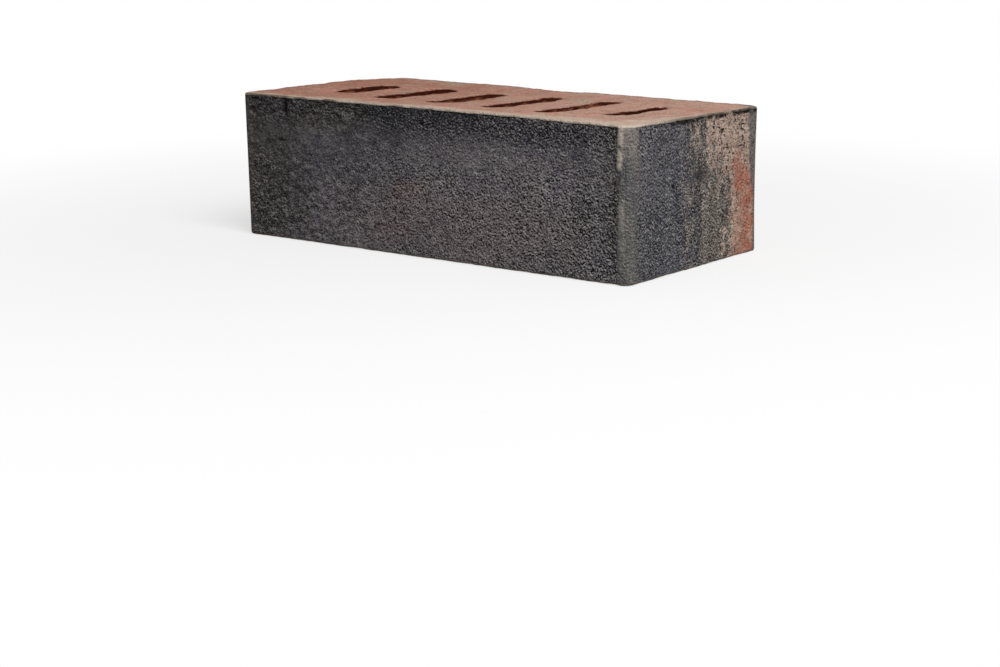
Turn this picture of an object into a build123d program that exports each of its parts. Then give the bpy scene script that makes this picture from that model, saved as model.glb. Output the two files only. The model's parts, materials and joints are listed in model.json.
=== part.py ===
from build123d import *
import os

# A perforated facing brick of fired clay. The clay is pressed through a die, which gives the section
# its rounded corners and its row of slots, and the column is then cut to height by a wire.
# X runs along the length, Y from the front stretcher face to the back one, and Z up from the lower bed.
# The origin is the middle of the lower bed. All sizes are in millimetres.

# The whole brick, measured over its smooth corners
brick_length = 215.0
brick_width = 102.5
brick_height = 65.0

# The four upright corners stay smooth, as the die leaves them
corner_radius = 5.5
corner_land = 1.5

# Between the corners, all four upright faces are scraped back
scrape_depth = 0.5
scrape_run = 2.5

# The wire leaves the edges of both beds a little soft
arris_radius = 0.8

# A row of slots crosses the brick, and the outermost two are shorter than the rest
slot_count = 6
slot_width = 10.0
face_shell = 26.5
end_shell = 26.5
outer_slot_setback = 5.5

# Cuts run this far past the faces that they open
cut_overrun = 5.0


def scraped_edge(start, end, outwards):
    """Half of one scraped face, from its middle (start) out to the corner's land (end).

    The flat runs into the land on two equal and opposite arcs, so that it has no crease.
    """
    foot = end - outwards * scrape_depth
    along = (foot - start).normalized()
    step_start = foot - along * scrape_run
    step_middle = (step_start + end) / 2
    flat = Line(start, step_start)
    rise = TangentArc(step_start, step_middle, tangent=along)
    crest = TangentArc(end, step_middle, tangent=-along)
    return [flat, rise, crest]


def quarter_outline():
    """The outline of the quarter of the section that has positive X and Y."""
    half_length = brick_length / 2
    half_width = brick_width / 2
    corner_reach = corner_radius + corner_land
    side_x, side_y = Vector(1, 0), Vector(0, 1)

    end_middle = Vector(half_length - scrape_depth, 0)
    end_land = Vector(half_length, half_width - corner_reach)
    end_round = Vector(half_length, half_width - corner_radius)
    face_round = Vector(half_length - corner_radius, half_width)
    face_land = Vector(half_length - corner_reach, half_width)
    face_middle = Vector(0, half_width - scrape_depth)

    return [
        *scraped_edge(end_middle, end_land, side_x),
        Line(end_land, end_round),
        TangentArc(end_round, face_round, tangent=side_y),
        Line(face_round, face_land),
        *scraped_edge(face_middle, face_land, side_y),
    ]


def section():
    """The die's outline, without its slots."""
    quarter = Curve() + quarter_outline()
    half = quarter + mirror(quarter, about=Plane.XZ)
    whole = half + mirror(half, about=Plane.YZ)
    return make_face(whole.edges())


def slot(number):
    """One slot of the row, counted from the left end, as the space that the die's core leaves."""
    row_length = brick_length - 2 * end_shell - slot_width
    place = -row_length / 2 + row_length * number / (slot_count - 1)
    is_outermost = number in (0, slot_count - 1)
    setback = outer_slot_setback if is_outermost else 0
    length = brick_width - 2 * (face_shell + setback)
    outline = Pos(place, 0, -cut_overrun) * SlotOverall(length, slot_width, rotation=90)
    return extrude(outline, brick_height + 2 * cut_overrun)


def brick():
    """The column of clay cut to height, with its arrises softened and its slots open."""
    column = extrude(section(), brick_height)
    beds = column.faces().sort_by(Axis.Z)
    arrises = beds[0].edges() + beds[-1].edges()
    softened = fillet(arrises, arris_radius)
    return softened - [slot(number) for number in range(slot_count)]


os.makedirs("parts", exist_ok=True)
export_step(brick(), "parts/brick.step")
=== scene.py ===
# %% [markdown]
# A perforated facing brick, dressed in Blender.
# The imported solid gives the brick's size, its place and its row of slots. This script makes a finer skin on
# the same measures: scraped faces, smooth corners, torn slot mouths and the colours of the kiln.

import json
import math

import bmesh
import bpy
import numpy as np
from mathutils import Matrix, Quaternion, Vector


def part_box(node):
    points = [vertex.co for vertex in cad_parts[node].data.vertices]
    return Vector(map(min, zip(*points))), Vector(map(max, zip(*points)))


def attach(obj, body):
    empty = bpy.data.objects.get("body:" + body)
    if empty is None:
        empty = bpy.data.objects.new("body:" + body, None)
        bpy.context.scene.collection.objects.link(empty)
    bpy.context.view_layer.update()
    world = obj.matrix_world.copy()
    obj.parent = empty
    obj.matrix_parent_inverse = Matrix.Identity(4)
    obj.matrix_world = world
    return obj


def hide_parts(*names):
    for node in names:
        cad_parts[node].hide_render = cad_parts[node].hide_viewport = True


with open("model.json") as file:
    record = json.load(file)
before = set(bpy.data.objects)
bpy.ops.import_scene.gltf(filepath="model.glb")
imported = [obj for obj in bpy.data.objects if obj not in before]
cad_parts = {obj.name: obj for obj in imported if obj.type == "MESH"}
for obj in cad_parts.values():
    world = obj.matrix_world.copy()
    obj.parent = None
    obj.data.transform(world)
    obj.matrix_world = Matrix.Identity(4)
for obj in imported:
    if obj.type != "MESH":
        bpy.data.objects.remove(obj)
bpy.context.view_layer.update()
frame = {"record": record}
MM = 0.001

# %% [markdown]
# Every main size comes from the frame. The record states each slot as a box of clear space, a little narrower
# than the slot and reaching a little way into its round ends, so the slots can be worked back from the boxes.

# %% Read the brick's measures
box_low, box_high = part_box("brick")
brick_length, brick_width, brick_height = (float(high - low) for low, high in zip(box_low, box_high))
slot_boxes = [opening["box_m"] for opening in frame["record"]["physics"]["openings"]]
slot_middles = [(low[0] + high[0]) / 2 for low, high in slot_boxes]
slot_reaches = [high[1] for low, high in slot_boxes]
box_side_clearance = 0.5 * MM
box_reach_into_end = 1.75 * MM

slot_count = len(slot_boxes)
slot_pitch = (slot_middles[-1] - slot_middles[0]) / (slot_count - 1)
slot_width = slot_boxes[0][1][0] - slot_boxes[0][0][0] + 2 * box_side_clearance
slot_straight = max(slot_reaches) - box_reach_into_end
outer_setback = max(slot_reaches) - min(slot_reaches)
print(f"brick {brick_length:.4f} x {brick_width:.4f} x {brick_height:.4f} m")
print(f"{slot_count} slots, {slot_width:.4f} m wide, {slot_pitch:.4f} m apart")

# %% [markdown]
# Geometry nodes and shader nodes both need a lot of small sums. Wired up by hand they are hard to read, so
# a Wire stands for one socket and turns Python's own operators into Math nodes. Every other node comes from
# one method, Graph.node, which sets a node's options first and then its sockets.


# %% Node trees
def find_socket(sockets, key):
    """A socket by its number, its identifier or its name."""
    if isinstance(key, int):
        return sockets[key]
    by_identifier = [s for s in sockets if s.identifier == key]
    by_name = [s for s in sockets if s.name == key and s.enabled]
    return (by_identifier + by_name)[0]


class Graph:
    """A node tree that is filled by writing expressions."""

    def __init__(self, tree):
        self.tree = tree

    def node(self, kind, settings=None, sockets=None):
        """Adds a node, sets its options and then its sockets, and returns its first output."""
        made = self.tree.nodes.new(kind)
        for name, value in (settings or {}).items():
            setattr(made, name, value)
        for key, value in (sockets or {}).items():
            socket = find_socket(made.inputs, key)
            if isinstance(value, Wire):
                self.tree.links.new(value.socket, socket)
            else:
                socket.default_value = value
        shown = [s for s in made.outputs if s.enabled]
        return Wire(self, shown[0]) if shown else None

    def math(self, operation, *values):
        return self.node("ShaderNodeMath", {"operation": operation}, dict(enumerate(values)))

    def vector(self, x=0.0, y=0.0, z=0.0):
        return self.node("ShaderNodeCombineXYZ", {}, {"X": x, "Y": y, "Z": z})


# %% Wires that take Python's operators
def operator(operation, swapped=False):
    """A method of a Wire that adds one Math node."""

    def method(self, *others):
        values = (*others, self) if swapped else (self, *others)
        return self.graph.math(operation, *values)

    return method


class Wire:
    """One socket of a node tree, on which Python's operators add Math nodes."""

    __add__, __radd__ = operator("ADD"), operator("ADD", swapped=True)
    __sub__, __rsub__ = operator("SUBTRACT"), operator("SUBTRACT", swapped=True)
    __mul__, __rmul__ = operator("MULTIPLY"), operator("MULTIPLY", swapped=True)
    __truediv__, __pow__, __abs__ = operator("DIVIDE"), operator("POWER"), operator("ABSOLUTE")
    __gt__, __lt__ = operator("GREATER_THAN"), operator("LESS_THAN")
    at_least, at_most = operator("MAXIMUM"), operator("MINIMUM")
    sign, floor, rounded, sine = map(operator, ("SIGN", "FLOOR", "ROUND", "SINE"))

    def __init__(self, graph, socket):
        self.graph = graph
        self.socket = socket

    def __getitem__(self, name):
        """Another output of the same node."""
        return Wire(self.graph, find_socket(self.socket.node.outputs, name))

    def __neg__(self):
        return self * -1

    def rise(self, start, end):
        """0 up to start, 1 past end, and a smooth step between. With start above end, it falls instead."""
        return self.graph.node(
            "ShaderNodeMapRange",
            {"interpolation_type": "SMOOTHSTEP"},
            {"Value": self, "From Min": start, "From Max": end},
        )

    def parts(self):
        """A vector's three numbers."""
        split = self.graph.node("ShaderNodeSeparateXYZ", {}, {"Vector": self})
        return split["X"], split["Y"], split["Z"]

    def stretched(self, x=1.0, y=1.0, z=1.0):
        """A place that is scaled along each axis, which draws a pattern out along the small ones."""
        return self.graph.node("ShaderNodeVectorMath", {"operation": "MULTIPLY"}, {0: self, 1: (x, y, z)})

    def moved(self, x=0.0, y=0.0, z=0.0):
        """A place that is shifted along each axis."""
        return self.graph.node("ShaderNodeVectorMath", {"operation": "ADD"}, {0: self, 1: (x, y, z)})

    def noise(self, size, seed, detail=2.0, roughness=0.5):
        """Smooth noise about 0, at this place, with lumps about as large as size."""
        return self.graph.node(
            "ShaderNodeTexNoise",
            {"noise_dimensions": "4D"},
            {"Vector": self, "W": seed, "Scale": 1 / size, "Detail": detail, "Roughness": roughness},
        ) * 2 - 1


def span(a, b):
    """The length of a way that goes a along one axis and b along the other."""
    return (a * a + b * b) ** 0.5


# %% [markdown]
# The brick is one piece of clay. On the real one, a column of clay is pressed through a die with six cores,
# and a wire cuts it to height. Geometry Nodes can follow the same rule: a flat plate with the die's outline
# and its slots is the bed, and its rims are drawn up to make the faces and the slots' walls. Cutting holes
# with a Boolean would leave long thin triangles that can't be roughened, so the plate is a grid whose cells
# inside the slots are deleted, and whose rims are then drawn onto the slots' true outline.

# %% Sizes of the form
corner_radius = 5.5 * MM
mesh_step = 1.02 * MM
wall_rows = 72
slot_rows = 14
form_sizes = {
    "Length": brick_length,
    "Width": brick_width,
    "Height": brick_height,
    "Corner Radius": corner_radius,
    "Slot Count": slot_count,
    "Slot Pitch": slot_pitch,
    "Slot Width": slot_width,
    "Slot Straight": slot_straight,
    "Outer Setback": outer_setback,
    "Mesh Step": mesh_step,
    "Wall Rows": wall_rows,
    "Slot Rows": slot_rows,
}
tiny, seam_width = 0.001 * MM, 0.01 * MM
snap_reach, held_reach, loose_reach, loosening_rounds = 2, 0.1, 5, 6
crowding_share = 0.35
print("inputs of the form:", ", ".join(form_sizes))


# %% Fields that measure a point against the die
def past_straight(x, y, size):
    """How far a point lies past the straight stretch of each side, in X and in Y."""
    past_x = abs(x) - (size["Length"] / 2 - size["Corner Radius"])
    past_y = abs(y) - (size["Width"] / 2 - size["Corner Radius"])
    return past_x, past_y


def outer_wall(x, y, size):
    """The gap from a point to the brick's outline, and the way out of the brick there."""
    past_x, past_y = past_straight(x, y, size)
    reach_x, reach_y = past_x.at_least(0), past_y.at_least(0)
    reach = span(reach_x, reach_y)
    inside = past_x.at_least(past_y).at_most(0)
    gap = size["Corner Radius"] - reach - inside
    out_x = reach_x / reach.at_least(tiny) * x.sign()
    out_y = reach_y / reach.at_least(tiny) * y.sign()
    return gap, out_x, out_y


def nearest_slot(x, y, size):
    """The gap from a point to the wall of the nearest slot, the way from its axis, and the axis itself."""
    last = size["Slot Count"] - 1
    number = (x / size["Slot Pitch"] + size["Slot Count"] / 2).floor()
    from_middle = number.at_least(0).at_most(last) - last / 2
    outermost = abs(from_middle) > last / 2 - 0.5
    straight = size["Slot Straight"] - outermost * size["Outer Setback"]
    axis_x = from_middle * size["Slot Pitch"]
    axis_y = y.at_least(-straight).at_most(straight)
    away_x, away_y = x - axis_x, y - axis_y
    away = span(away_x, away_y).at_least(tiny)
    return away - size["Slot Width"] / 2, away_x / away, away_y / away, axis_x, axis_y


# %% The plate
def here(g):
    return g.node("GeometryNodeInputPosition").parts()


def rim(g):
    """Picks the edges of an open mesh, and the points on them."""
    is_open = g.node("GeometryNodeInputMeshEdgeNeighbors") < 2
    settings = {"data_type": "FLOAT", "domain": "EDGE"}
    return g.node("GeometryNodeFieldOnDomain", settings, {"Value": is_open}) > 0


def plate(g, size):
    """A flat grid with rounded corners, whose cells inside the slots are gone."""
    step = size["Mesh Step"]
    grid = g.node("GeometryNodeMeshGrid", {}, {
        "Size X": size["Length"],
        "Size Y": size["Width"],
        "Vertices X": (size["Length"] / step).rounded() + 1,
        "Vertices Y": (size["Width"] / step).rounded() + 1,
    })
    x, y, z = here(g)
    past_x, past_y = past_straight(x, y, size)
    reach_x, reach_y = past_x.at_least(0), past_y.at_least(0)
    squeeze = reach_x.at_least(reach_y) / span(reach_x, reach_y).at_least(tiny) - 1
    drawn_in = g.vector(x.sign() * reach_x * squeeze, y.sign() * reach_y * squeeze)
    rounded = g.node("GeometryNodeSetPosition", {}, {"Geometry": grid, "Offset": drawn_in})

    x, y, z = here(g)
    gap, away_x, away_y, axis_x, axis_y = nearest_slot(x, y, size)
    inside = {"Geometry": rounded, "Selection": gap < 0}
    cut = g.node("GeometryNodeDeleteGeometry", {"domain": "FACE"}, inside)
    radius = size["Slot Width"] / 2
    snapped = g.node("GeometryNodeSetPosition", {}, {
        "Geometry": cut,
        "Selection": rim(g) * (abs(gap) < snap_reach * step),
        "Position": g.vector(axis_x + away_x * radius, axis_y + away_y * radius),
    })
    loose = (gap > held_reach * step) * (gap < loose_reach * step)
    relaxed = g.node("GeometryNodeBlurAttribute", {"data_type": "FLOAT_VECTOR"}, {
        "Value": g.node("GeometryNodeInputPosition"),
        "Iterations": loosening_rounds,
        "Weight": loose,
    })
    return g.node("GeometryNodeSetPosition", {}, {"Geometry": snapped, "Position": relaxed})


# %% The walls and the whole column
def wall(g, bed, edges, height, rows):
    """Draws the picked rims of a bed straight up, with rows that lie closer near both beds."""
    path = g.node("GeometryNodeMeshToCurve", {}, {"Mesh": bed, "Selection": edges})
    upright = g.node("GeometryNodeSetCurveNormal", {"mode": "Z_UP"}, {"Curve": path})
    line = g.node("GeometryNodeCurvePrimitiveLine", {}, {"Start": (0, 0, 0), "End": g.vector(0, height, 0)})
    steps = g.node("GeometryNodeResampleCurve", {}, {"Curve": line, "Count": rows + 1})
    share = g.node("GeometryNodeSplineParameter")["Factor"]
    crowded = share - crowding_share * (share * math.tau).sine() / math.tau
    profile = g.node("GeometryNodeSetPosition", {}, {
        "Geometry": steps,
        "Position": g.vector(0, crowded * height, 0),
    })
    drawn = g.node("GeometryNodeCurveToMesh", {}, {"Curve": upright, "Profile Curve": profile})
    x, y, z = here(g)
    return g.node("GeometryNodeSetPosition", {}, {"Geometry": drawn, "Position": g.vector(x, y, abs(z))})


def column(g, size):
    """The whole brick as the die and the wire leave it: two beds, the outer faces and the slots' walls."""
    lower = plate(g, size)
    x, y, z = here(g)
    at_slot = nearest_slot(x, y, size)[0] < 0.5 * size["Mesh Step"]
    faces = wall(g, lower, rim(g) * (1 - at_slot), size["Height"], size["Wall Rows"])
    slots = wall(g, lower, rim(g) * at_slot, size["Height"], size["Slot Rows"])
    raised = g.vector(0, 0, size["Height"])
    upper = g.node("GeometryNodeTransform", {}, {"Geometry": lower, "Translation": raised})
    flipped = g.node("GeometryNodeFlipFaces", {}, {"Mesh": lower})
    joined = g.node("GeometryNodeJoinGeometry")
    for part in (upper, flipped, faces, slots):
        g.tree.links.new(part.socket, joined.socket.node.inputs[0])
    return g.node("GeometryNodeMergeByDistance", {}, {"Geometry": joined, "Distance": seam_width})


# %% [markdown]
# No fired brick is as true as its die. The clay slumps a little before it hardens, so the upper bed is dished
# and dips at the back, and the faces are scraped rough while they are still soft. The scraper spares the four
# upright corners, which keep the die's smooth skin, and it leaves a thin lip under the upper bed. The wire
# drags at the slots and tears their mouths. All of this could be sculpted by hand, but it is only a handful
# of rules, so it is written as an offset for every point: how far it is pushed out of its face, how far into
# the clay round a slot, and how far it is lifted.

# %% Sizes of the relief
band_on_face, band_on_end = 5.0 * MM, 3.2 * MM
scrape_depth, scrape_run = 0.5 * MM, 2.0 * MM
ridge_height, ridge_core, ridge_reach = 0.45 * MM, 0.5 * MM, 1.8 * MM
ridge_length = 5 * MM
lip_height, burr_stands_out = 0.65 * MM, 0.1 * MM
arris_softness, arris_cut = 0.9 * MM, 0.35 * MM
edge_fade = 4.5 * MM
print(f"faces scraped {scrape_depth / MM} mm deep, under a lip of {lip_height / MM} mm")


# %% Kinds of roughness
class Bumps:
    """Noise with lumps of about one length and one height, in millimetres, and with a fixed seed."""

    def __init__(self, length, height, seed, detail=2.0):
        self.length = length * MM
        self.height = height * MM
        self.seed = seed
        self.detail = detail

    def at(self, place):
        return place.noise(self.length, self.seed, self.detail) * self.height


# Each kind has its length, its height and its seed
face_waves = Bumps(12, 0.25, seed=9)
face_crumbs = Bumps(3.6, 0.7, seed=10, detail=3)
corner_waves = Bumps(16, 0.2, seed=11)
ridge_wander = Bumps(11, 3, seed=19)
lip_edge = Bumps(9, 0.8, seed=8)
lip_burr = Bumps(4, 0.3, seed=12)
bed_drag = Bumps(5, 0.12, seed=13)
bed_lumps = Bumps(16, 0.6, seed=14)
bed_crumbs = Bumps(4, 0.3, seed=15)
mouth_sag = Bumps(6, 0.6, seed=16)
mouth_lumps = Bumps(8, 2.4, seed=21)
mouth_crumbs = Bumps(3, 1.5, seed=22)
slot_crumbs = Bumps(3, 0.3, seed=18)


# %% What stands out from the upright faces
def corner_band(x, y, size, end_run=scrape_run):
    """1 on the smooth upright corners, and 0 on the scraped faces between them."""
    on_face = (abs(x) - (size["Length"] / 2 - band_on_face)).rise(-scrape_run, 0)
    on_end = (abs(y) - (size["Width"] / 2 - band_on_end)).rise(-end_run, 0)
    return on_face * on_end


def corner_ridge(place, size):
    """1 along the clay that the scraper pushed up where it left a long face, near the right-hand end."""
    x, y, z = place.parts()
    wander = ridge_wander.at(place.stretched(1, 1, 0.4))
    off_line = abs(x + wander - (size["Length"] / 2 - band_on_face))
    raised_share = z / size["Height"]
    gaps = place.stretched(1, 1, 0.7).noise(ridge_length, seed=23) * 2
    broken = (gaps + raised_share * 0.6 + 0.05).rise(-0.05, 0.35)
    on_face = (abs(y) - size["Width"] / 2).rise(-1.5 * MM, -0.5 * MM)
    return off_line.rise(ridge_reach, ridge_core) * broken * on_face * raised_share.rise(0.05, 0.4)


def rim_lip(place, from_bed):
    """1 on the thin lip that the scraper leaves along a bed, and 0 further down the face."""
    return (from_bed + lip_edge.at(place)).rise(1.4 * lip_height, 0.8 * lip_height)


def side_push(place, size):
    """How far a point of an upright face stands out from the die's outline."""
    x, y, z = place.parts()
    above, below = z, size["Height"] - z
    scraped = 1 - corner_band(x, y, size)
    upper_lip = rim_lip(place, below)
    worked = scraped * (1 - upper_lip)
    drawn_out = place.stretched(1, 1, 0.35)
    arrises = below.rise(arris_softness, 0) + above.rise(arris_softness, 0)
    return (
        worked * (face_waves.at(drawn_out) + face_crumbs.at(place) - scrape_depth)
        + (1 - scraped) * corner_waves.at(drawn_out)
        + corner_ridge(place, size) * ridge_height
        + scraped * upper_lip * (lip_burr.at(place) + burr_stands_out)
        - arrises * arris_cut
    )


# %% How the beds slumped and the ends leaned
front_lift, front_arch = 0.6 * MM, 0.6 * MM
back_drop, back_slope = 0.9 * MM, 0.2 * MM
dish = 1.3 * MM
dip_depth, dip_middle, dip_reach = 0.6 * MM, -1 * MM, 22 * MM
worn_corner_drop = 0.9 * MM
worn_along_shares, worn_back_shares = (-0.85, -1), (0.7, 0.95)
left_flare, flare_pivot_share = 1.3 * MM, 0.35
waist_depth = 0.8 * MM
end_shares, far_side_shares = (0.8, 1), (0.6, 1)


def slump(x, y, size):
    """How far the upper bed settled away from the wire's flat cut."""
    along = x / (size["Length"] / 2)
    arch = 1 - along * along
    back = y / size["Width"] + 0.5
    across = 1 - (back * 2 - 1) * (back * 2 - 1)
    dip = abs(x - dip_middle).rise(dip_reach, 0) * back * back * dip_depth
    worn_corner = along.rise(*worn_along_shares) * back.rise(*worn_back_shares) * worn_corner_drop
    front = (1 - back) * (arch * front_arch + front_lift)
    return front - back * (along * back_slope + back_drop) - arch * across * dish - dip - worn_corner


def lean(x, y, raised_share, size):
    """How far the left end flares out along X, and how far the far corner draws in along Y."""
    along, across = x / (size["Length"] / 2), y / (size["Width"] / 2)
    flare = (-along).rise(*end_shares) * (raised_share - flare_pivot_share) * left_flare
    far_corner = along.rise(*end_shares) * across.rise(*far_side_shares)
    half_way_up = raised_share * (1 - raised_share) * 4
    return flare, far_corner * half_way_up * waist_depth


# %% How the slots' mouths tore
mouth_spread = 1.3 * MM
mouth_fade, mouth_depth = 12 * MM, 5 * MM
tear_reach = 10 * MM
mouth_tears = (
    (47 * MM, 27 * MM, 4.5 * MM),
    (45 * MM, -26 * MM, 3 * MM),
    (17 * MM, 26 * MM, 2.5 * MM),
    (77 * MM, 20 * MM, 2.5 * MM),
    (-78 * MM, -19 * MM, -2.4 * MM),
)
print(f"{len(mouth_tears)} large tears, each with its place and its depth")


def mouth_push(place, slot_gap, size):
    """How far a slot's wall stands back into the clay, most of all at its torn mouths."""
    x, y, z = place.parts()
    upper_mouth, lower_mouth = (size["Height"] - z).rise(mouth_depth, 0), z.rise(mouth_depth, 0)
    torn = mouth_lumps.at(place) + mouth_crumbs.at(place)
    ragged = (upper_mouth + lower_mouth) * (torn - x / (size["Length"] / 2) * mouth_spread)
    for tear_x, tear_y, amount in mouth_tears:
        off_tear = span(x - tear_x, y - tear_y)
        ragged = ragged + upper_mouth * off_tear.rise(tear_reach, 0) * amount
    return slot_gap.rise(mouth_fade, 0) * (ragged + slot_crumbs.at(place))


# %% The whole relief
bed_fade, bed_edge_run = 1.5 * MM, 1.2 * MM
mouth_sag_depth, mouth_sag_run = 0.3 * MM, 2.5 * MM


def bed_texture(place, edge_gap, slot_gap):
    """The drag of the wire, the crumbs that it leaves, soft edges and sagging slot mouths."""
    rough = bed_drag.at(place.stretched(1, 0.15, 1)) + bed_lumps.at(place) + bed_crumbs.at(place)
    softened = edge_gap.rise(bed_edge_run, 0) * arris_cut
    sagged = slot_gap.rise(mouth_sag_run, 0) * (mouth_sag.at(place) + mouth_sag_depth)
    return rough - softened - sagged


def relief(g, size):
    """The offset of every point from the die's and the wire's true shape."""
    place = g.node("GeometryNodeInputPosition")
    x, y, z = place.parts()
    edge_gap, out_x, out_y = outer_wall(x, y, size)
    slot_gap, away_x, away_y = nearest_slot(x, y, size)[:3]
    push = edge_gap.rise(edge_fade, 0) * side_push(place, size)
    widen = mouth_push(place, slot_gap, size)
    raised_share = z / size["Height"]
    flare, waist = lean(x, y, raised_share, size)
    fine = bed_texture(place, edge_gap, slot_gap)
    on_upper, on_lower = (size["Height"] - z).rise(bed_fade, 0), z.rise(bed_fade, 0)
    lift = slump(x, y, size) * raised_share + on_upper * fine + on_lower * abs(fine)
    return g.vector(out_x * push + away_x * widen - flare, out_y * push + away_y * widen - waist, lift)


# %% [markdown]
# The finished tree keeps three measures on every point before it moves them: the place in the die, the gap to
# the outline and the gap to the nearest slot. The colours need them later, to tell a bed from a face.

# %% Build the tree
fired_clay = bpy.data.materials.new("fired_clay")


def keep(g, geometry, name, data_type, value):
    """Stores a measure on every point, under a name that the material can read."""
    settings = {"data_type": data_type, "domain": "POINT"}
    sockets = {"Geometry": geometry, "Name": name, "Value": value}
    return g.node("GeometryNodeStoreNamedAttribute", settings, sockets)


def brick_tree(sizes):
    """The node tree of the brick, with a named input for every size."""
    tree = bpy.data.node_groups.new("pressed_brick", "GeometryNodeTree")
    for name, value in sizes.items():
        kind = "NodeSocketInt" if isinstance(value, int) else "NodeSocketFloat"
        tree.interface.new_socket(name, in_out="INPUT", socket_type=kind)
    tree.interface.new_socket("Geometry", in_out="OUTPUT", socket_type="NodeSocketGeometry")
    g = Graph(tree)
    given = g.node("NodeGroupInput")
    size = {name: given[name] for name in sizes}
    clay = column(g, size)
    place = g.node("GeometryNodeInputPosition")
    x, y, z = place.parts()
    clay = keep(g, clay, "die_place", "FLOAT_VECTOR", place)
    clay = keep(g, clay, "edge_gap", "FLOAT", outer_wall(x, y, size)[0])
    clay = keep(g, clay, "slot_gap", "FLOAT", nearest_slot(x, y, size)[0])
    clay = g.node("GeometryNodeSetPosition", {}, {"Geometry": clay, "Offset": relief(g, size)})
    clay = g.node("GeometryNodeRealizeInstances", {}, {"Geometry": clay})
    clay = g.node("GeometryNodeSetMaterial", {}, {"Geometry": clay, "Material": fired_clay})
    g.node("NodeGroupOutput", {}, {"Geometry": clay})
    return tree


# %% Press the brick
def put(name, data):
    """Adds an object to the scene."""
    made = bpy.data.objects.new(name, data)
    bpy.context.scene.collection.objects.link(made)
    return made


def made_plain(name, tree, sizes):
    """Evaluates a node tree on an empty object and keeps its result as a plain mesh."""
    piece = put(name, bpy.data.meshes.new(name))
    modifier = piece.modifiers.new("form", "NODES")
    modifier.node_group = tree
    for item in tree.interface.items_tree:
        if item.in_out == "INPUT":
            modifier[item.identifier] = sizes[item.name]
    depsgraph = bpy.context.evaluated_depsgraph_get()
    evaluated = piece.evaluated_get(depsgraph)
    mesh = bpy.data.meshes.new_from_object(evaluated, preserve_all_data_layers=True, depsgraph=depsgraph)
    piece.modifiers.remove(modifier)
    piece.data = mesh
    return piece


brick = made_plain("fired_brick", brick_tree(form_sizes), form_sizes)
print(f"{len(brick.data.vertices)} points, {len(brick.data.polygons)} faces")

# %% Turn the faces outwards and measure the result
shell = bmesh.new()
shell.from_mesh(brick.data)
bmesh.ops.recalc_face_normals(shell, faces=shell.faces)
open_edges = sum(len(edge.link_faces) != 2 for edge in shell.edges)
print(f"{open_edges} open edges, {shell.calc_volume() * 1000:.3f} litres of clay")
shell.to_mesh(brick.data)
shell.free()
brick.data.shade_smooth()

# %% [markdown]
# A bake needs a flat map of the skin. An automatic unwrap cuts such a mesh into many scraps, but a brick
# unfolds by itself: two beds, four faces and the slots' walls, each laid flat by its own measures. The slots'
# walls are seldom seen, so they are drawn smaller.

# %% Read the kept measures back
skin = brick.data
corner_points = np.empty(len(skin.loops), int)
skin.loops.foreach_get("vertex_index", corner_points)


def measure(name, field, width):
    """A kept measure for the four corners of every face."""
    values = np.empty(len(skin.vertices) * width)
    skin.attributes[name].data.foreach_get(field, values)
    return values.reshape(-1, width)[corner_points].reshape(-1, 4, width)


face_tolerance = 0.1 * MM
die_corners = measure("die_place", "vector", 3)
edge_gaps = measure("edge_gap", "value", 1)[..., 0]
is_bed = np.ptp(die_corners[..., 2], axis=1) < tiny
is_face = ~is_bed & (edge_gaps.max(axis=1) < face_tolerance)
is_slot = ~is_bed & ~is_face
print(f"faces of the mesh: {is_bed.sum()} on beds, {is_face.sum()} on faces, {is_slot.sum()} in slots")

# %% Rules for laying the skin flat
map_gap = 2.5 * MM
slot_map_share = 0.55
map_side = 2 * (brick_width + map_gap) + 2 * (brick_height + map_gap)
right_column = brick_length + map_gap
flat_places = np.zeros((len(is_bed), 4, 2))


def lay(chosen, across, up, origin):
    """Puts the chosen faces on the map, at an origin given in metres."""
    flat_places[chosen] = np.stack([across[chosen], up[chosen]], axis=-1) + np.array(origin)


def round_side(along, straight, other):
    """The length along a face from its middle, which goes on round the corners' arcs."""
    turn = np.arctan2(np.maximum(np.abs(along) - straight, 0), np.maximum(other, tiny))
    return np.sign(along) * (np.minimum(np.abs(along), straight) + corner_radius * turn)


def round_slot(dx, dy, straight):
    """The length round a slot's outline, for the corners of each face."""
    radius = slot_width / 2
    right, left = dy, 2 * straight + math.pi * radius - dy
    far = straight + radius * np.arctan2(dy - straight, dx)
    near = 3 * straight + radius * (np.arctan2(dy + straight, dx) + 2 * math.pi)
    length = np.where(dy > straight, far, np.where(dy < -straight, near, np.where(dx > 0, right, left)))
    whole = 4 * straight + math.tau * radius
    crosses_seam = np.ptp(length, axis=1, keepdims=True) > whole / 2
    return np.where(crosses_seam & (length < whole / 4), length + whole, length)


# %% Lay the beds and the faces
die_x, die_y, die_z = (die_corners[..., axis] for axis in range(3))
middle_x, middle_y, middle_z = die_corners.mean(axis=1).T
half_bed = np.array([brick_length / 2, brick_width / 2])
lay(is_bed & (middle_z > brick_height / 2), die_x, die_y, half_bed)
lay(is_bed & (middle_z < brick_height / 2), die_x, -die_y, half_bed + [0, brick_width + map_gap])

past_x = np.abs(die_x) - (brick_length / 2 - corner_radius)
past_y = np.abs(die_y) - (brick_width / 2 - corner_radius)
on_end = is_face & (past_x.mean(axis=1) > past_y.mean(axis=1))
on_long = is_face & ~on_end
along_face = round_side(die_x, brick_length / 2 - corner_radius, past_y)
along_end = round_side(die_y, brick_width / 2 - corner_radius, past_x)
first_face = 2 * (brick_width + map_gap)
lay(on_long & (middle_y < 0), along_face, die_z, (half_bed[0], first_face))
lay(on_long & (middle_y > 0), -along_face, die_z, (half_bed[0], first_face + brick_height + map_gap))
lay(on_end & (middle_x > 0), along_end, die_z, (right_column + half_bed[1], 0))
lay(on_end & (middle_x < 0), -along_end, die_z, (right_column + half_bed[1], brick_height + map_gap))
print(f"map: {on_long.sum()} faces of the mesh on the long sides, {on_end.sum()} on the ends")

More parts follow.
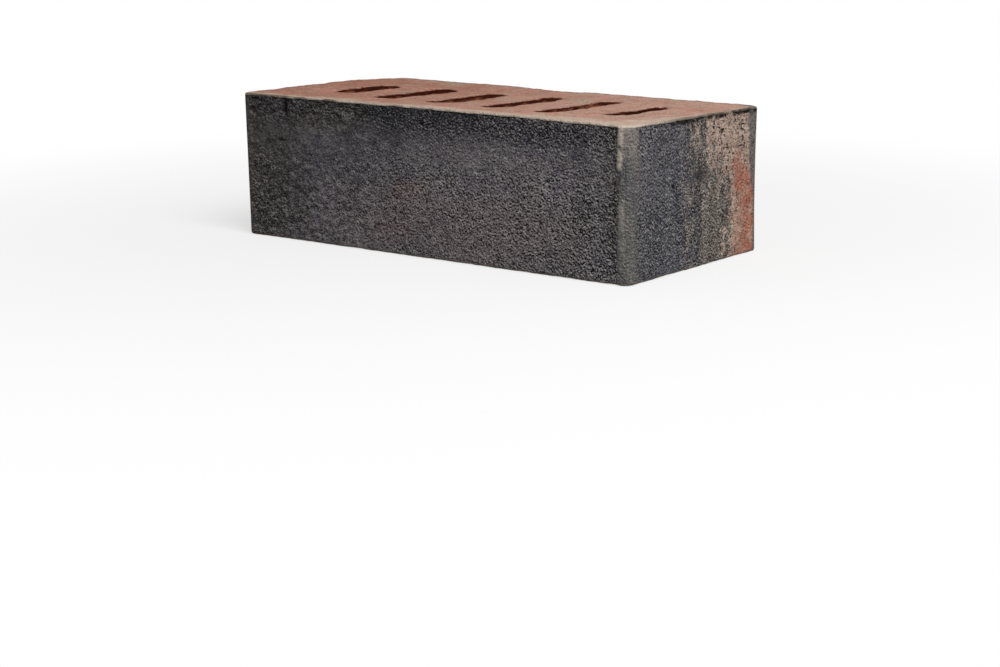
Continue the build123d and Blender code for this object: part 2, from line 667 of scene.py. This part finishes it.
# %% Lay the slots' walls
slots_in_row = 2
outline = 4 * slot_straight + math.pi * slot_width
for number, (slot_x, reach) in enumerate(zip(slot_middles, slot_reaches)):
    this_slot = is_slot & (np.abs(middle_x - slot_x) < slot_pitch / 2)
    around = -round_slot(die_x - slot_x, die_y, reach - box_reach_into_end) * slot_map_share
    row, place_in_row = divmod(number, slots_in_row)
    across = right_column + (place_in_row + 1) * outline * slot_map_share + place_in_row * map_gap
    up = 2 * (brick_height + map_gap) + row * (brick_height * slot_map_share + map_gap)
    lay(this_slot, around, die_z * slot_map_share, (across - slot_straight * slot_map_share, up))

bake_map = skin.uv_layers.new(name="OFBake")
bake_map.data.foreach_set("uv", (flat_places / map_side + 0.5 * map_gap / map_side).ravel())
print("map reaches", (flat_places.reshape(-1, 2).min(axis=0) / map_side).round(3),
      (flat_places.reshape(-1, 2).max(axis=0) / map_side).round(3))

# %% [markdown]
# Now the colours. In the kiln the faces of this brick took up a dark, smoky skin, while the beds, which lay
# against other bricks, stayed the salmon red of the clay. A painted picture could give these colours, but
# nodes stay sharp at any distance. So each finish below is a colour that is worked out for any place on the
# brick, and masks made from the three kept measures choose between them.


# %% Colours as they would be picked from a swatch
def paint(red, green, blue):
    """A colour from the usual 0 to 255 values, as the linear values that a shader takes."""
    return (*(((v / 255 + 0.055) / 1.055) ** 2.4 for v in (red, green, blue)), 1.0)


def blend(g, share, first, second):
    """The first colour where the share is 0, the second where it is 1."""
    settings = {"data_type": "RGBA", "clamp_factor": True}
    sockets = {"Factor_Float": share, "A_Color": first, "B_Color": second}
    return g.node("ShaderNodeMix", settings, sockets)["Result_Color"]


# %% Measures that the finishes share
shader_sizes = {"Length": brick_length, "Width": brick_width, "Height": brick_height}
turn_start, turn_end = 6 * MM, 1 * MM
wall_tolerance = 0.05 * MM


def blank_nodes(owner):
    """An empty node tree for a material or for the world."""
    owner.use_nodes = True
    owner.node_tree.nodes.clear()
    return Graph(owner.node_tree)


clay = blank_nodes(fired_clay)


def kept(name, output):
    """A measure that the form's tree kept on every point."""
    return clay.node("ShaderNodeAttribute", {"attribute_name": name})[output]


def stained(base, share, colour):
    """A colour of the clay with another one over it, as far as the share says."""
    return blend(clay, share, base, colour)


def tell(finish):
    print(f"{finish}: the clay has {len(clay.tree.nodes)} nodes so far")


place = kept("die_place", "Vector")
edge_gap, slot_gap = kept("edge_gap", "Fac"), kept("slot_gap", "Fac")
x, y, z = place.parts()
below = brick_height - z
from_bed = z.at_most(below)
from_front, from_back, from_right = y + brick_width / 2, brick_width / 2 - y, brick_length / 2 - x
on_front = from_front.rise(turn_start, turn_end)
on_right_end = from_right.rise(turn_start, turn_end)
in_slot = slot_gap < wall_tolerance
tell("measures")

# %% [markdown]
# The scraped skin is sandy: grains under a millimetre across, and among them clods that grow towards the
# left. Each gets a painted highlight on its upper side and painted shade underneath, as if lit from above.
# Modelled grains would take millions of faces. The difference between the noise at a place and the same
# noise just above it gives both sides of this painted light at no cost. The upper front and the right end
# are calmer than the rest.

# %% Grain
sand_size, grit_size, clod_size, crevice_size = 0.7 * MM, 1.9 * MM, 2.6 * MM, 3.4 * MM
above_sand, above_clod = (0.15 * MM, 0.15 * MM, 0.5 * MM), (0.4 * MM, 0.4 * MM, 1.3 * MM)
raked = place.stretched(0.9, 0.9, 1)


def lumps_and_painted_light(size, shift, seed, **kind):
    """Noise, and how far it stands out from the same noise a little above it, used as painted light on its
    sides.
    """
    lumps = raked.noise(size, seed, **kind)
    return lumps, lumps - raked.moved(*shift).noise(size, seed, **kind)


sand, sand_painted_light = lumps_and_painted_light(sand_size, above_sand, seed=41, detail=1, roughness=0.6)
clod_painted_light = lumps_and_painted_light(clod_size, above_clod, seed=35)[1]
grit = raked.noise(grit_size, seed=42)
crevices = abs(raked.noise(crevice_size, seed=45, detail=3, roughness=0.6)).rise(0.07, 0)
towards_left, towards_right = x.rise(30 * MM, -80 * MM), x.rise(0, 80 * MM)
# Painted light: pale on the upper sides of the sand and the clods, painted shade under them.
painted_grain_light = sand_painted_light * 0.5 + clod_painted_light * (0.08 + 0.5 * towards_left)
grain_and_painted_light = sand * (0.65 - 0.25 * towards_left) + painted_grain_light + grit * 0.12
tell("grain_and_painted_light")

# %% Where the skin is sandy
usual_sandiness, patchiness, patch_size = 0.94, 0.5, 24 * MM
calm = z.rise(34 * MM, 48 * MM) * on_front
sandiness = usual_sandiness - 0.25 * towards_left + 0.2 * towards_right - 0.35 * calm - 0.32 * on_right_end
sandiness = sandiness + place.noise(patch_size, seed=40) * patchiness


def sanded(colour, strength, pale_and_highlight, painted_shade):
    """A colour with pale grains and dark pits worked into it: the pits are painted shade, and the grain
    carries painted light.
    """
    with_pale = stained(colour, grain_and_painted_light.rise(0.02, 0.5) * strength, pale_and_highlight)
    return stained(with_pale, (-grain_and_painted_light).rise(0, 0.32) * strength, painted_shade)


tell("sandiness")

# %% [markdown]
# Slower noise lets the skin drift between blue-black and purple-grey, with paler, darker and more violet
# blotches, and lets drips run down the right end. Colours that have a place of their own on this brick, such
# as its brown-black left end, are patches with a ragged rim, and a dark strip beside the right corner is
# painted shadow. The tints lie under the grain, and the marks, near-black painted shade of a crease, a
# groove, a nick and pits that the form doesn't carry, lie over it.

# %% Slow changes over the skin
cloud = place.noise(42 * MM, seed=43, detail=3)
streak = place.stretched(1, 1, 0.3).noise(8 * MM, seed=44, detail=3)
blotches = place.stretched(1, 1, 0.8).noise(19 * MM, seed=37, detail=3)
violet = place.noise(13 * MM, seed=33, detail=3)
drips = place.stretched(1, 1, 0.2).noise(6 * MM, seed=38, detail=3)
tell("slow changes")


# %% Patches of the front and of the right end
class Tint:
    """A patch of colour on the front or on the right end, with its middle and its reach in millimetres."""

    grit_share, streak_share, cloud_share = 4, 9, 8

    def __init__(self, colour, middle, reach, strength, mask=on_front, along=x, raggedness=1.0):
        self.colour = paint(*colour)
        self.middle = [v * MM for v in middle]
        self.reach = [v * MM for v in reach]
        self.shown = mask * strength
        self.along = along
        self.raggedness = raggedness * MM

    def over(self, base):
        ragged = grit * (self.grit_share * self.raggedness)
        wander_along = streak * (self.streak_share * self.raggedness) + ragged
        wander_up = cloud * (self.cloud_share * self.raggedness) + ragged
        off_along = (self.along - self.middle[0] + wander_along) / self.reach[0]
        off_z = (z - self.middle[1] + wander_up) / self.reach[1]
        return stained(base, span(off_along, off_z).rise(1.4, 0.2) * self.shown, self.colour)


tints = {
    "brown-black left end": Tint((87, 82, 79), (-108, 30), (44, 70), 0.9),
    "blue-black under the lip": Tint((62, 63, 68), (-6, 63), (120, 13), 0.9),
    "olive patch under the lip": Tint((106, 99, 87), (-54, 57), (24, 9), 0.5),
    "pale spot in the olive": Tint((160, 156, 158), (-43, 57), (4, 3.5), 0.5, raggedness=0.5),
    "blue-grey right end": Tint((92, 94, 102), (-22, 30), (30, 60), 0.8, on_right_end, y),
    "purple-grey lower middle": Tint((138, 126, 127), (24, 16), (70, 20), 0.7),
    "rusty spot": Tint((146, 106, 94), (-9, 26), (8, 6), 0.3),
    "lower rusty spot": Tint((140, 106, 96), (-17, 11), (10, 7), 0.25),
    # Painted shadow: a dark strip beside the corner's ridge, where the step down to the scraped face would be
    # in shade.
    "painted shadow beside the corner": Tint((60, 54, 51), (99, 32), (3.6, 60), 0.7),
}
# Painted shade: near-black marks where a crease, a groove, a nick and pits would be, none of which the form
# carries.
painted_shade_marks = {
    "crease at the left": Tint((18, 16, 16), (-80, 60), (1.2, 6), 1.0, raggedness=0.15),
    "line under the crease": Tint((36, 34, 34), (-79, 30), (0.7, 28), 0.4, raggedness=0.5),
    "nick at the left": Tint((22, 20, 20), (-83, 45), (3.5, 0.8), 0.8, raggedness=0.15),
    "pit under the lip": Tint((14, 13, 14), (-1, 58), (1.8, 1.0), 0.9, raggedness=0.2),
    "pit in the end": Tint((8, 8, 9), (-18.5, 37), (1.3, 1.1), 1.0, on_right_end, y, raggedness=0.15),
}
print("tints:", ", ".join(tints))
print("marks:", ", ".join(painted_shade_marks))

# %% Skin under the grain
blue_black, purple_grey = paint(103, 102, 108), paint(131, 123, 127)
pale_blotch, dark_blotch, violet_grey = paint(142, 136, 138), paint(80, 79, 84), paint(112, 104, 122)
pale_drip, dark_drip = paint(128, 128, 132), paint(70, 71, 80)
blotch_share, violet_share, drip_share = 0.75, 0.6, 0.7
skin_tone = blend(clay, (cloud * 0.9 + streak * 0.25).rise(-0.3, 0.3), blue_black, purple_grey)
skin_tone = stained(skin_tone, blotches.rise(0, 0.4) * blotch_share, pale_blotch)
skin_tone = stained(skin_tone, (-blotches).rise(0, 0.4) * blotch_share, dark_blotch)
skin_tone = stained(skin_tone, violet.rise(0, 0.4) * violet_share, violet_grey)
for tint in tints.values():
    skin_tone = tint.over(skin_tone)
skin_tone = stained(skin_tone, drips.rise(0.05, 0.4) * on_right_end * drip_share, pale_drip)
skin_tone = stained(skin_tone, (-drips).rise(0.05, 0.4) * on_right_end * drip_share, dark_drip)
tell("skin")

# %% Scraped faces
# Besides pale grains and black pits, these colours give the grains' painted highlights and painted shade.
grain_pale_and_highlight = blend(clay, towards_left, paint(186, 180, 177), paint(172, 167, 164))
grain_pit_shade, strip_pit_shade, crevice_shade = paint(10, 9, 11), paint(14, 13, 15), paint(18, 17, 18)
scraped = sanded(skin_tone, sandiness, grain_pale_and_highlight, grain_pit_shade)
# Painted shade: along the top of the front the pits are darkened further.
top_strip = z.rise(50 * MM, 60 * MM) * on_front
scraped = stained(scraped, (-grain_and_painted_light).rise(-0.05, 0.2) * top_strip * 0.75, strip_pit_shade)
# Painted shade in the crevices that the bump sinks, strongest at the left and along the top strip.
torn = 0.2 + 0.5 * towards_left.at_least(top_strip)
scraped = stained(scraped, crevices * torn, crevice_shade)
for shaded_mark in painted_shade_marks.values():
    scraped = shaded_mark.over(scraped)
tell("scraped faces")

# %% [markdown]
# The smooth corners are greyer and greener than the scraped faces, with faint upright streaks from the die,
# and paler near the top. Where the scraper left the long face, it pushed up a broken ridge of paler clay. The
# functions that shaped the corners and the ridge are asked again here, so colour and form can't drift apart.

# %% Smooth corners
corner_dark, corner_pale, corner_top = paint(84, 86, 86), paint(112, 109, 105), paint(152, 144, 136)
band_fade = 8 * MM
uneven_y = abs(y) + streak * 5 * MM + grit * 4 * MM + sand * 3 * MM
right_half = x.rise(-20 * MM, 20 * MM)
band = corner_band(x, uneven_y, shader_sizes, end_run=band_fade) * (0.3 + 0.7 * right_half)
high_up = (z + streak * 12 * MM).rise(46 * MM, 62 * MM)
smooth_grey = blend(clay, streak.rise(-0.35, 0.35), corner_dark, corner_pale)
smooth_grey = stained(smooth_grey, high_up * 0.7, corner_top)
smooth_grey = sanded(smooth_grey, 0.38, paint(176, 170, 160), paint(40, 38, 38))
faces = stained(scraped, band * 0.8, smooth_grey)
tell("smooth corners")

# %% Ridge beside the corner
ridge = corner_ridge(place, shader_sizes) * x.rise(0, 20 * MM)
ridge_clay = blend(clay, z.rise(22 * MM, 52 * MM), paint(132, 130, 124), paint(196, 184, 172))
ridge_clay = sanded(ridge_clay, 0.3, paint(206, 194, 182), paint(90, 80, 72))
faces = stained(faces, ridge * 0.85, ridge_clay)
tell("ridge")

# %% [markdown]
# At the back of the right end the flame reached the clay. The distance to that corner, measured round the
# brick, sets how far the smoky skin is burnt. First it turns brown, then a paler, singed skin shows in
# upright veins, and last the bare clay, cracked and flecked, tan above with an orange tongue below. The far
# corner keeps a strip of the die's grey skin. Streaky noise on each of these limits keeps them ragged.

# %% How far the flame reached
flame_reach, flame_core, flame_lean = 80 * MM, 4 * MM, 14 * MM
from_flash = from_right.at_least(from_back)
flame_slant = (z / brick_height - 0.5) * flame_lean
burnt = (from_flash - flame_slant + streak * 12 * MM + cloud * 10 * MM).rise(flame_reach, flame_core)
patches = place.stretched(1, 1, 0.5).noise(3.4 * MM, seed=45, detail=4, roughness=0.7)
veins = place.stretched(1, 1, 0.12).noise(5 * MM, seed=36)
flecks = place.stretched(0.8, 0.8, 0.5).noise(1.8 * MM, seed=46, detail=4, roughness=0.65)
low_down = (z + patches * 10 * MM + cloud * 16 * MM).rise(44 * MM, 30 * MM)
tell("flame")

# %% Brown and singed skin
singed_dark, singed_pale, singed_low = paint(134, 128, 123), paint(162, 150, 140), paint(132, 127, 117)
sooty_brown = sanded(paint(84, 75, 71), 0.8, paint(160, 148, 140), paint(14, 11, 10))
faces = stained(faces, burnt.rise(0.1, 0.5) * on_right_end * 0.8, sooty_brown)
licked = (patches * 1.5 + veins * 0.9 + (burnt - 0.33) * 0.8).rise(-0.12, 0.16) * burnt.rise(0.03, 0.2)
singed = blend(clay, place.noise(9 * MM, seed=50).rise(-0.3, 0.3), singed_dark, singed_pale)
singed = stained(singed, low_down * burnt.rise(0.3, 0.6), singed_low)
singed = sanded(singed, 0.8, paint(212, 201, 190), paint(20, 18, 17))
faces = stained(faces, licked * 0.85, singed)
tell("singed skin")

# %% Bare clay
tan_dark, tan_pale = paint(190, 163, 148), paint(218, 192, 176)
orange_deep, orange_pale = paint(196, 126, 104), paint(206, 166, 146)
tongue_reach, tongue_core = 27 * MM, 16 * MM
bare = (flecks * 1.5 + veins * 0.7 + (burnt - 0.62 - low_down * 0.12) * 1.8).rise(-0.12, 0.12)
tan = blend(clay, place.noise(5 * MM, seed=47).rise(-0.4, 0.4), tan_dark, tan_pale)
orange = blend(clay, place.noise(7 * MM, seed=48).rise(-0.25, 0.3), orange_deep, orange_pale)
tongue_top = (z + flecks * 12 * MM + streak * 12 * MM).rise(48 * MM, 34 * MM)
tongue_side = (from_flash + flecks * 10 * MM + patches * 8 * MM).rise(tongue_reach, tongue_core)
tongue = tongue_top * tongue_side
fired = blend(clay, tongue, tan, orange)
fired = sanded(fired, 0.5 - 0.2 * tongue, paint(222, 204, 190), paint(60, 46, 40))
cracked = (place.stretched(1, 1, 0.6).noise(7 * MM, seed=39) + 0.45).rise(0, 0.5)
cracks = raked.noise(1.3 * MM, seed=49).rise(0.08, 0.24) * cracked
fired = stained(fired, cracks * (1 - 0.6 * tongue), paint(58, 47, 42))
faces = stained(faces, bare, fired)
tell("bare clay")

# %% Strip of the far corner
far_reach = 4.5 * MM + 5 * MM * z.rise(22 * MM, 50 * MM)
far_band = (from_back + streak * 4 * MM - far_reach).rise(1.5 * MM, -1.5 * MM)
far_skin = sanded(paint(103, 105, 107), 0.4, paint(160, 156, 150), paint(34, 34, 36))
faces = stained(faces, far_band * on_right_end * 0.85, far_skin)
left_over_skin = Tint((58, 58, 64), (3, 40), (9, 4), 0.6, on_right_end, y, raggedness=0.8)
faces = left_over_skin.over(faces)
tell("far corner")

# %% [markdown]
# The beds show the clay itself: salmon red with greyer and pinker patches, and with faint pale streaks that
# run the way the wire was drawn. Along the front and right edges the rim was rubbed to a wide pale band,
# near white in patches. Smoke crept over the other edges, and the clay round the slots' mouths is torn and
# dark.

# %% Clay of the beds
redder, paler = paint(177, 126, 106), paint(200, 158, 141)
bed_grey, bed_pink = paint(184, 160, 140), paint(203, 139, 123)
streak_pale, mottle_brown = paint(208, 178, 161), paint(156, 112, 94)
drift = place.noise(26 * MM, seed=51, detail=3)
wire = place.stretched(1, 0.15, 1).noise(4 * MM, seed=52, detail=3)
mottle = place.noise(6 * MM, seed=53, detail=4, roughness=0.65)
greyer = place.noise(14 * MM, seed=57, detail=3).rise(0.05, 0.35)
pinker = place.noise(11 * MM, seed=58, detail=3).rise(0.05, 0.35)
bed = blend(clay, (x / brick_length + drift * 0.8).rise(-0.5, 0.5), redder, paler)
bed = stained(bed, greyer * 0.75, bed_grey)
bed = stained(bed, pinker * 0.65, bed_pink)
bed = stained(bed, wire.rise(0, 0.6) * 0.45, streak_pale)
bed = stained(bed, mottle.rise(0.02, 0.4) * 0.6, mottle_brown)
tell("beds")

# %% Rims of the beds
rubbed_pale, near_white = paint(208, 185, 165), paint(232, 206, 198)
rim_smoke, corner_smoke = paint(122, 104, 96), paint(96, 92, 90)
rub_reach = 8 * MM + 5 * MM * x.rise(-20 * MM, 90 * MM) + mottle * 9 * MM + drift * 8 * MM
near_rim = from_front.at_most(from_right + 8 * MM * y.rise(-30 * MM, 0))
rubbed = (near_rim - rub_reach).rise(3 * MM, -7 * MM)
bed = stained(bed, rubbed * 0.9, rubbed_pale)
near_white_patches = place.noise(7 * MM, seed=60, detail=3).rise(0.1, 0.4) * rubbed
bed = stained(bed, near_white_patches * 0.7, near_white)
smoked = edge_gap.rise(5 * MM, 0.8 * MM) * (place.noise(12 * MM, seed=54) + 0.4).rise(0, 0.5)
bed = stained(bed, smoked * (1 - rubbed) * 0.75, rim_smoke)
far_corner = from_flash.rise(9 * MM, 5 * MM)
bed = stained(bed, far_corner * 0.8, corner_smoke)
tell("rims of the beds")

# %% Torn clay round the slots
torn_reach, torn_core, torn_wander = 1.8 * MM, 0.3 * MM, 3 * MM
torn_clay = (slot_gap + place.noise(1.8 * MM, seed=59) * torn_wander).rise(torn_reach, torn_core)
bed = stained(bed, torn_clay * 0.75, paint(104, 54, 36))
bed = sanded(bed, 0.27, paint(228, 204, 188), paint(84, 48, 38))
tell("torn clay")

# %% [markdown]
# The thin lip under the upper bed is pale where it was rubbed, and keeps some smoke at the left and past the
# front right corner, where a dark, ragged line of painted shadow runs under its overhang. The foot of the
# faces is rubbed a little.

# %% Lip and foot
lip_smoky, lip_rubbed, foot_rubbed = paint(140, 127, 115), paint(226, 207, 190), paint(146, 130, 116)
past_corner = from_front.rise(16 * MM, 34 * MM) * on_right_end
lip_gaps = (place.noise(7 * MM, seed=56) + 0.4).rise(0, 0.4)
# Painted shadow: a dark, broken line just under the overhanging lip, past the front right corner.
painted_shadow_under_lip = (below + grit * 1.5 * MM).rise(3.2 * MM, 2 * MM) * lip_gaps
faces = stained(faces, painted_shadow_under_lip * past_corner * 0.9, paint(26, 24, 24))
lip_share = rim_lip(place, below) * (1 - in_slot)
lip_pale = (x / brick_length + place.noise(9 * MM, seed=55) * 0.6).rise(-0.45, -0.15)
lip_pale = lip_pale * (1 - past_corner * 0.7)
lip_clay = blend(clay, lip_pale, lip_smoky, lip_rubbed)
lip_clay = sanded(lip_clay, 0.3, paint(222, 206, 190), paint(70, 62, 58))
faces = stained(faces, lip_share * 0.9 * (1 - burnt * 0.7), lip_clay)
faces = stained(faces, z.rise(1.6 * MM, 0.4 * MM) * 0.4, foot_rubbed)
tell("lip and foot")

# %% [markdown]
# The smoke hardly reached into the slots. Their walls are a deeper red brown than the beds, and just under
# the torn mouths they carry a painted shade, almost black.

# %% Slots
slot_brown, slot_red, mouth_painted_shade = paint(152, 84, 56), paint(180, 118, 90), paint(56, 12, 0)
mouth_reach, mouth_core = 3.2 * MM, 1.2 * MM
slot_clay = blend(clay, place.noise(5 * MM, seed=61).rise(-0.4, 0.4), slot_brown, slot_red)
# Painted shade, nearly black, on the walls just under the torn mouths.
shade_under_mouth = (from_bed + place.noise(9 * MM, seed=62, detail=3) * 4 * MM).rise(mouth_reach, mouth_core)
slot_wall = stained(slot_clay, shade_under_mouth * 0.94, mouth_painted_shade)
tell("slots")

# %% [markdown]
# A ragged line along the arrises parts the beds from the faces. Fired clay is dull all over, only a little
# less so on the smooth corners. The noise that coloured the sand and the wire's streaks also drives the bump,
# so the pale spots are the high ones, and the beds and corners are smoother than the scraped faces.

# %% Choose between the finishes
ragged_edge = place.noise(5 * MM, seed=31) * 0.4 * MM
on_bed = (edge_gap + ragged_edge).rise(0.3 * MM, 1.2 * MM) * (1 - in_slot)
on_corner = band * (1 - on_bed)
colour = blend(clay, on_bed, faces, bed)
colour = stained(colour, in_slot, slot_wall)
tell("all finishes")

# %% Roughness and bump
clay_roughness, corner_shine = 0.96, 0.12
sand_height, grit_height, lump_height = 0.75 * MM, 0.7 * MM, 0.9 * MM
crevice_depth, drag_height = 0.3 * MM, 0.5 * MM
lump_size = 4.5 * MM
softness = 1 - 0.6 * on_corner - 0.65 * on_bed
lumps = place.noise(lump_size, seed=32)
rough = sand * sand_height + grit * grit_height + lumps * lump_height - crevices * crevice_depth
height = rough * softness + wire * drag_height * on_bed
bump = clay.node("ShaderNodeBump", {}, {"Strength": 1.0, "Distance": 1.0, "Height": height})
shader = clay.node("ShaderNodeBsdfPrincipled", {}, {
    "Base Color": colour,
    "Roughness": clay_roughness - on_corner * corner_shine,
    "Specular IOR Level": 0.05,
    "Normal": bump,
})
clay.node("ShaderNodeOutputMaterial", {}, {"Surface": shader})
tell("finished")

# %% [markdown]
# The studio is plain: a sheet of white paper, white air all round and one large soft lamp to the right of the
# camera. The paper would go grey towards the horizon, so for the camera it glows white further out. Close to
# the brick it stays paper, and keeps the brick's shadow.


# %% Floor
def seen_directly(g):
    """1 for rays that show the background itself, 0 for rays that only carry its light."""
    ray = g.node("ShaderNodeLightPath")
    return ray["Is Camera Ray"].at_least(ray["Is Glossy Ray"]).at_least(ray["Is Transmission Ray"])


paper_half = 4.0
glow_near_brick, glow_start, glow_full = 0.62, 0.1, 0.45
paper_seen, paper_as_reflector = paint(250, 250, 250), paint(190, 190, 190)
paper_corners = [(sx * paper_half, sy * paper_half, 0) for sx, sy in ((-1, -1), (1, -1), (1, 1), (-1, 1))]
paper_sheet = bpy.data.meshes.new("paper_sheet")
paper_sheet.from_pydata(paper_corners, [], [(0, 1, 2, 3)])
floor = put("studio_floor", paper_sheet)
white_paper = bpy.data.materials.new("white_paper")
paper = blank_nodes(white_paper)
paper_x, paper_y, _ = paper.node("ShaderNodeTexCoord")["Object"].parts()
far_out = span(paper_x, paper_y).rise(glow_start, glow_full)
glow_share = far_out * (1 - glow_near_brick) + glow_near_brick
seen = seen_directly(paper)
paper_tone = blend(paper, seen, paper_as_reflector, paper_seen)
sheet = paper.node("ShaderNodeBsdfDiffuse", {}, {"Color": paper_tone})
glow = paper.node("ShaderNodeEmission", {}, {"Color": (1, 1, 1, 1), "Strength": 1.0})
surface = paper.node("ShaderNodeMixShader", {}, {0: seen * glow_share, 1: sheet, 2: glow})
paper.node("ShaderNodeOutputMaterial", {}, {"Surface": surface})
paper_sheet.materials.append(white_paper)
print(f"floor: {2 * paper_half:.0f} m of paper")

# %% Air
air_level = 0.28
studio_air = bpy.data.worlds.new("studio_air")
air = blank_nodes(studio_air)
air_strength = seen_directly(air) * (1 - air_level) + air_level
background = air.node("ShaderNodeBackground", {}, {"Color": (1, 1, 1, 1), "Strength": air_strength})
air.node("ShaderNodeOutputWorld", {}, {"Surface": background})
bpy.context.scene.world = studio_air
print(f"air: white to the camera, {air_level} as a light")

# %% Lamp
lamp_azimuth, lamp_height = math.radians(62), math.radians(49)
lamp_distance, lamp_width, lamp_power = 1.3, 0.9, 13
soft_lamp = bpy.data.lights.new("soft_lamp", "AREA")
soft_lamp.shape = "DISK"
soft_lamp.size = lamp_width
soft_lamp.energy = lamp_power
lamp = put("soft_lamp", soft_lamp)
towards_lamp = Vector((
    math.sin(lamp_azimuth) * math.cos(lamp_height),
    -math.cos(lamp_azimuth) * math.cos(lamp_height),
    math.sin(lamp_height),
))
brick_middle = Vector((0, 0, brick_height / 2))
lamp.location = brick_middle + towards_lamp * lamp_distance
lamp.rotation_euler = towards_lamp.to_track_quat("Z", "Y").to_euler()
print("lamp at", [round(v, 3) for v in lamp.location])

# %% [markdown]
# The camera stands where the photographer's stood. Its place was worked out from the brick's own edges in the
# picture, so its numbers are measured ones: a long lens, a little above the brick and off its right-hand
# corner.

# %% Camera
picture_width = 1000
focal_length_pixels = 2083
camera_place = (0.5694, -0.7378, 0.1721)
heading = Vector((-0.6096, 0.7927, 0))
pitch, roll = math.radians(13.0), math.radians(-0.4)
lens = bpy.data.cameras.new("camera")
lens.sensor_width = 36
lens.lens = lens.sensor_width * focal_length_pixels / picture_width
camera = put("camera", lens)
camera.location = camera_place
view = heading.normalized() * math.cos(pitch) - Vector((0, 0, math.sin(pitch)))
upright = (-view).to_track_quat("Z", "Y")
camera.rotation_euler = (upright @ Quaternion((0, 0, 1), roll)).to_euler()
bpy.context.scene.camera = camera
bpy.context.scene.view_settings.view_transform = "Standard"
print(f"camera: a lens of {lens.lens:.1f} mm, {(camera.location - brick_middle).length:.3f} m from the brick")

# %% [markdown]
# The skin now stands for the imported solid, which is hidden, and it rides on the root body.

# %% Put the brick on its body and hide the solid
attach(brick, "root")
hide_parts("brick")
